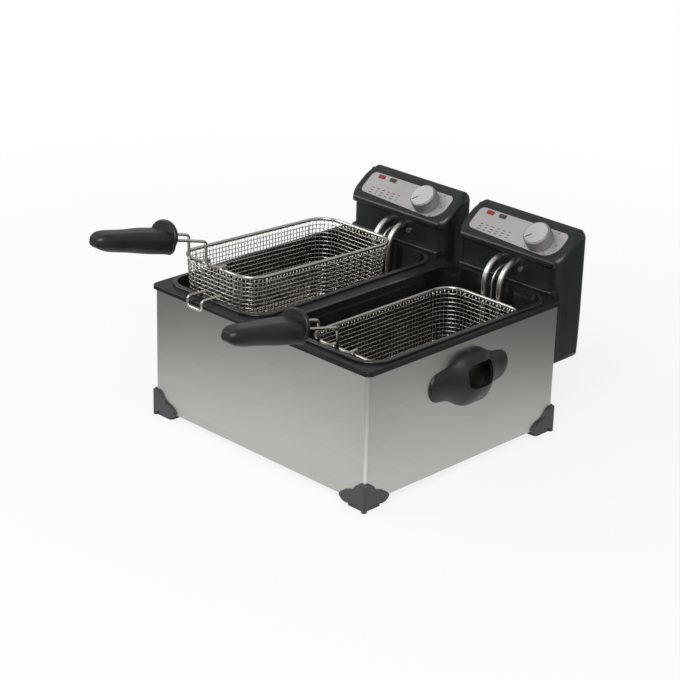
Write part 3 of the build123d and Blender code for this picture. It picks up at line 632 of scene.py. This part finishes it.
def woven_floor():
    """Level wires along X and along Y at the basket's foot, each cut off at the hem.

    Point i of wire k lies at an even share of the chord, and higher or lower by swing cos(pi (i + k)); wires
    along Y start the other way."""
    half_x, half_y = BASKET_W / 2 - BASKET_TAPER, BASKET_L / 2 - BASKET_TAPER
    bundles = []
    for axis, (half_across, half_along) in enumerate(((half_x, half_y), (half_y, half_x))):
        offset = steps(half_along - WEAVE_PITCH / 2)
        count = int(2 * half_across / WEAVE_PITCH)
        share = np.linspace(-1, 1, count + 1)
        run = share * chord_half(offset, half_across, half_along)[:, None]
        over = (-1.0) ** (np.arange(len(offset))[:, None] + np.arange(count + 1) + axis)
        still = np.broadcast_to(offset[:, None], run.shape)
        flat = np.stack((run, still) if axis == 0 else (still, run), -1)
        path = lift(flat, (-BASKET_H + WEAVE_SWING * over)[..., None])
        up = np.broadcast_to(np.array((0.0, 0.0, 1.0)), path.shape)
        bundles.append(wire_bundle(path, up, WEAVE_WIRE_R, WEAVE_SIDES, False))
    return bundles


def make_baskets():
    """The woven basket, at the middle of each rim and with the hung one's tilt."""
    points, faces = join_bundles(woven_walls() + woven_floor())
    for side in SIDES:
        tilt = HUNG_TILT if side == "left" else 0.0
        turn = np.array(Matrix.Rotation(-tilt, 3, "X"))
        placed = points @ turn.T + box_middle("basket_rim_" + side)
        piece = add_piece("woven_basket_" + side, placed, faces, "basket_" + side,
                          "wire_chrome")
        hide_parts("basket_mesh_" + side)


# Printing on the control plates

def plate_frame(side):
    """Matrix from plate coordinates: origin on the knob's axis, X level, Y up the slope, Z out."""
    turn = next(joint for joint in frame["joints"] if joint["name"] == "knob_%s_turn" % side)
    out = Vector(turn["axis"]).normalized()
    level = Vector((1.0, 0.0, 0.0))
    up = out.cross(level)
    matrix = Matrix((level, up, out)).transposed().to_4x4()
    matrix.translation = Vector(turn["pos_m"])
    return matrix


def place(points, matrix):
    """Points moved by a matrix."""
    rows = np.array(matrix)
    return points @ rows[:3, :3].T + rows[:3, 3]


def flat_bars(centres, directions, lengths, widths, height):
    """Thin raised bars on a plane: each is a box, long in its own direction.

    Its corners are centre +- direction length / 2 +- side width / 2, at height and at PRINT_T above it."""
    side = np.stack((-directions[:, 1], directions[:, 0]), -1)
    reach, spread = directions * lengths[:, None] / 2, side * widths[:, None] / 2
    corners = np.stack((-reach - spread, reach - spread, reach + spread, -reach + spread), 1)
    corners = corners + centres[:, None]
    points = np.concatenate((lift(corners, height), lift(corners, height + PRINT_T)), 1)
    cube = ((4, 5, 6, 7), (3, 2, 1, 0), (0, 1, 5, 4), (1, 2, 6, 5), (2, 3, 7, 6), (3, 0, 4, 7))
    faces = (np.arange(len(centres))[:, None, None] * points.shape[1] + np.array(cube)).reshape(-1, 4)
    return points.reshape(-1, 3), faces.tolist()


def dial_angles(count):
    """Angles round the knob in even steps, from lower left over the top to lower right."""
    return np.radians(np.linspace(*DIAL_ENDS, count))


def on_plate(angle):
    """True where printing round the knob stays on the plate, which ends just above the knob's top."""
    return np.abs(angle - np.pi / 2) > DIAL_TOP_GAP


def dial_ticks():
    """Ticks on a circle round the knob, pointing out, with a long one at even steps."""
    angle = dial_angles(TICKS)
    lengths = TICK_L * np.where(np.arange(TICKS) % LONG_TICK_EVERY == 0, 1.0, SHORT_TICK)
    angle, lengths = angle[on_plate(angle)], lengths[on_plate(angle)]
    direction = np.stack((np.cos(angle), np.sin(angle)), -1)
    widths = np.full(len(angle), TICK_W)
    return flat_bars(direction * (KNOB_R + TICK_GAP), direction, lengths, widths, PLATE_PROUD)


def guide_rows():
    """Rows of short strokes at the plate's left: a plain cooking guide."""
    across, down = np.meshgrid(GUIDE_COLUMNS, GUIDE_ROWS)
    centres = np.stack((across, down), -1).reshape(-1, 2)
    count = len(centres)
    level = np.broadcast_to(np.array((1.0, 0.0)), (count, 2))
    lengths = np.resize(GUIDE_STROKES, count)
    return flat_bars(centres, level, lengths, np.full(count, GUIDE_STROKE_W), PLATE_PROUD)


def text_mesh(words, size):
    """Flat text centred on the origin, as points and faces."""
    curve = bpy.data.curves.new("digits", "FONT")
    curve.body, curve.size, curve.align_x, curve.align_y = words, size, "CENTER", "CENTER"
    curve.resolution_u, curve.extrude = DIGIT_STEPS, PRINT_T / 2
    holder = bpy.data.objects.new("digits", curve)
    bpy.context.scene.collection.objects.link(holder)
    bpy.context.view_layer.update()
    depsgraph = bpy.context.evaluated_depsgraph_get()
    mesh = bpy.data.meshes.new_from_object(holder.evaluated_get(depsgraph))
    points = np.empty(len(mesh.vertices) * 3)
    mesh.vertices.foreach_get("co", points)
    faces = [list(polygon.vertices) for polygon in mesh.polygons]
    bpy.data.meshes.remove(mesh)
    bpy.data.objects.remove(holder)
    bpy.data.curves.remove(curve)
    return points.reshape(-1, 3), faces


def dial_numbers():
    """Temperatures on a circle round the knob, beyond its ticks."""
    bundles = []
    for angle, words in zip(dial_angles(len(DIAL_NUMBERS)), DIAL_NUMBERS):
        if on_plate(angle):
            points, faces = text_mesh(words, DIGIT_H)
            at = np.array((math.cos(angle), math.sin(angle))) * (KNOB_R + DIGIT_GAP)
            bundles.append((points + lift(at, PLATE_PROUD + PRINT_T / 2), faces))
    return bundles


def knob_pointer():
    """Stroke on the knob's face, pointing at the off mark."""
    angle = dial_angles(2)[:1]
    direction = np.stack((np.cos(angle), np.sin(angle)), -1)
    length, width = np.array((POINTER_L,)), np.array((POINTER_W,))
    return flat_bars(direction * POINTER_AT, direction, length, width, KNOB_TOP)


def make_printing():
    """Ticks, numbers and guide on each plate, and the stroke on each knob."""
    print_points, print_faces = join_bundles([dial_ticks(), guide_rows()] + dial_numbers())
    mark_points, mark_faces = knob_pointer()
    for side in SIDES:
        matrix = plate_frame(side)
        add_piece("plate_print_" + side, place(print_points, matrix), print_faces, "head_" + side,
                  "print_ink", smooth=False)
        add_piece("knob_mark_" + side, place(mark_points, matrix), mark_faces, "knob_" + side,
                  "print_ink", smooth=False)


# Knobs

def knob_profile():
    """Half section of the knob body: radius, height and share of the fluting.

    The rim is a quarter circle: at angle t it is in by edge (1 - cos t) and down by edge (1 - sin t)."""
    top_r = KNOB_R - KNOB_TAPER
    turn = np.linspace(0, np.pi / 2, RIM_POINTS)
    rim_r = top_r - KNOB_EDGE_R * (1 - np.cos(turn))
    rim_z = KNOB_RIM - KNOB_EDGE_R * (1 - np.sin(turn))
    radius = np.concatenate(((KNOB_R,), rim_r, (CAP_SEAT_R, CAP_SEAT_R)))
    height = np.concatenate(((KNOB_FOOT,), rim_z, (KNOB_RIM, CAP_SEAT_Z)))
    fluting = np.concatenate(((1.0,), np.cos(turn), (0.0, 0.0)))
    return radius, height, fluting


def knob_body():
    """The knob's half section carried round its axis.

    At angle a the radius is r - depth share (1 + cos(flutes a)) / 2. One face each closes the foot and the
    cap's seat."""
    radius, height, fluting = knob_profile()
    angle = np.linspace(0, 2 * np.pi, FLUTES * FLUTE_POINTS, endpoint=False)[:, None]
    reach = radius - FLUTE_DEPTH * fluting * (1 + np.cos(FLUTES * angle)) / 2
    level = np.broadcast_to(height, reach.shape)
    points = np.stack((reach * np.cos(angle), reach * np.sin(angle), level), -1)
    index = np.arange(reach.size).reshape(reach.shape)
    here, ahead = index[:, :-1], index[:, 1:]
    quads = np.stack((here, np.roll(here, -1, 0), np.roll(ahead, -1, 0), ahead), -1).reshape(-1, 4)
    return points.reshape(-1, 3), quads.tolist() + [index[::-1, 0].tolist(), index[:, -1].tolist()]


def make_knobs():
    """Finely fluted knob bodies round the silver caps."""
    points, faces = knob_body()
    for side in SIDES:
        placed = place(points, plate_frame(side))
        piece = add_piece("knob_body_" + side, placed, faces, "knob_" + side, "knob_grey")
        piece.data.set_sharp_from_angle(angle=KNOB_SHARP_ANGLE)
        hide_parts("knob_" + side)


# Stage

def table_fade(tree, ends):
    """Value on the table that changes smoothly with the distance from the part, between two distances."""
    coords = tree.nodes.new("ShaderNodeTexCoord")
    far = tree.nodes.new("ShaderNodeVectorMath")
    far.operation = "LENGTH"
    tree.links.new(coords.outputs["Object"], far.inputs[0])
    return map_range(tree, far.outputs["Value"], ends, "SMOOTHSTEP")


def show_background(tree, lit, seen_share, gloss_share, reflected):
    """Mixes even white into a lit shader or background, for the rays that show the stage.

    Camera rays see seen_share of white, and glossy rays gloss_share of white times reflected. The rest is the
    lit one, so the object's shadow stays. All other rays see only the lit one."""
    path = tree.nodes.new("ShaderNodeLightPath")
    seen, mirrored = path.outputs["Is Camera Ray"], path.outputs["Is Glossy Ray"]
    white = tree.nodes.new("ShaderNodeEmission")
    tree.links.new(math_node(tree, "MAXIMUM", seen, reflected), white.inputs["Strength"])
    mix = tree.nodes.new("ShaderNodeMixShader")
    to_camera = math_node(tree, "MULTIPLY", seen, seen_share)
    to_gloss = math_node(tree, "MULTIPLY", mirrored, gloss_share)
    tree.links.new(math_node(tree, "MAXIMUM", to_camera, to_gloss), mix.inputs[0])
    tree.links.new(lit, mix.inputs[1])
    tree.links.new(white.outputs["Emission"], mix.inputs[2])
    return mix.outputs["Shader"]


def make_floor():
    """Wide pale table under the part."""
    corners = [(x * TABLE_HALF, y * TABLE_HALF, 0) for x, y in ((-1, -1), (1, -1), (1, 1), (-1, 1))]
    mesh = bpy.data.meshes.new("floor")
    mesh.from_pydata(corners, [], [(0, 1, 2, 3)])
    floor = bpy.data.objects.new("floor", mesh)
    bpy.context.scene.collection.objects.link(floor)
    pale = bpy.data.materials.new("floor_pale")
    pale.use_nodes = True
    tree = pale.node_tree
    shader = tree.nodes["Principled BSDF"]
    shader.inputs["Base Color"].default_value = TABLE_COLOR
    shader.inputs["Roughness"].default_value = TABLE_ROUGHNESS
    seen_share, reflected = table_fade(tree, TABLE_WHITE), table_fade(tree, TABLE_FADE)
    near_share = TABLE_WHITE[2]
    surface = show_background(tree, shader.outputs["BSDF"], seen_share, near_share, reflected)
    tree.links.new(surface, tree.nodes["Material Output"].inputs["Surface"])
    mesh.materials.append(pale)


def make_world():
    """Even white sky."""
    world = bpy.data.worlds.new("studio")
    world.use_nodes = True
    tree = world.node_tree
    sky = tree.nodes["Background"]
    sky.inputs["Color"].default_value = (1.0, 1.0, 1.0, 1.0)
    sky.inputs["Strength"].default_value = SKY_LIGHT
    surface = show_background(tree, sky.outputs["Background"], seen_share=1.0, gloss_share=1.0,
                              reflected=SKY_REFLECTED)
    tree.links.new(surface, tree.nodes["World Output"].inputs["Surface"])
    bpy.context.scene.world = world


def make_lights():
    """Soft key from the front right and a weaker fill from the left."""
    for name, at, size, power in LAMPS:
        lamp = bpy.data.lights.new(name, "AREA")
        lamp.size, lamp.energy = size, power
        light = bpy.data.objects.new(name, lamp)
        light.location = at
        aim = Vector(LAMP_AIM) - Vector(at)
        light.rotation_euler = aim.to_track_quat("-Z", "Y").to_euler()
        bpy.context.scene.collection.objects.link(light)


def make_camera():
    """Camera at the photograph's place, with its axes made square."""
    data = bpy.data.cameras.new("camera")
    data.sensor_width = SENSOR_MM
    data.lens = SENSOR_MM * CAMERA_FOCAL_PX / PICTURE_PX
    camera = bpy.data.objects.new("camera", data)
    back, right = Vector(CAMERA_BACK).normalized(), Vector(CAMERA_RIGHT)
    up = back.cross(right).normalized()
    camera.matrix_world = Matrix((up.cross(back), up, back)).transposed().to_4x4()
    camera.location = Vector(CAMERA_AT) + Vector((0.0, box_middle("casing")[1], 0.0))
    bpy.context.scene.collection.objects.link(camera)
    bpy.context.scene.camera = camera


dress_nodes()
soften_heads()
make_baskets()
make_knobs()
make_printing()
make_floor()
make_world()
make_lights()
make_camera()
bpy.context.scene.view_settings.view_transform = "Standard"
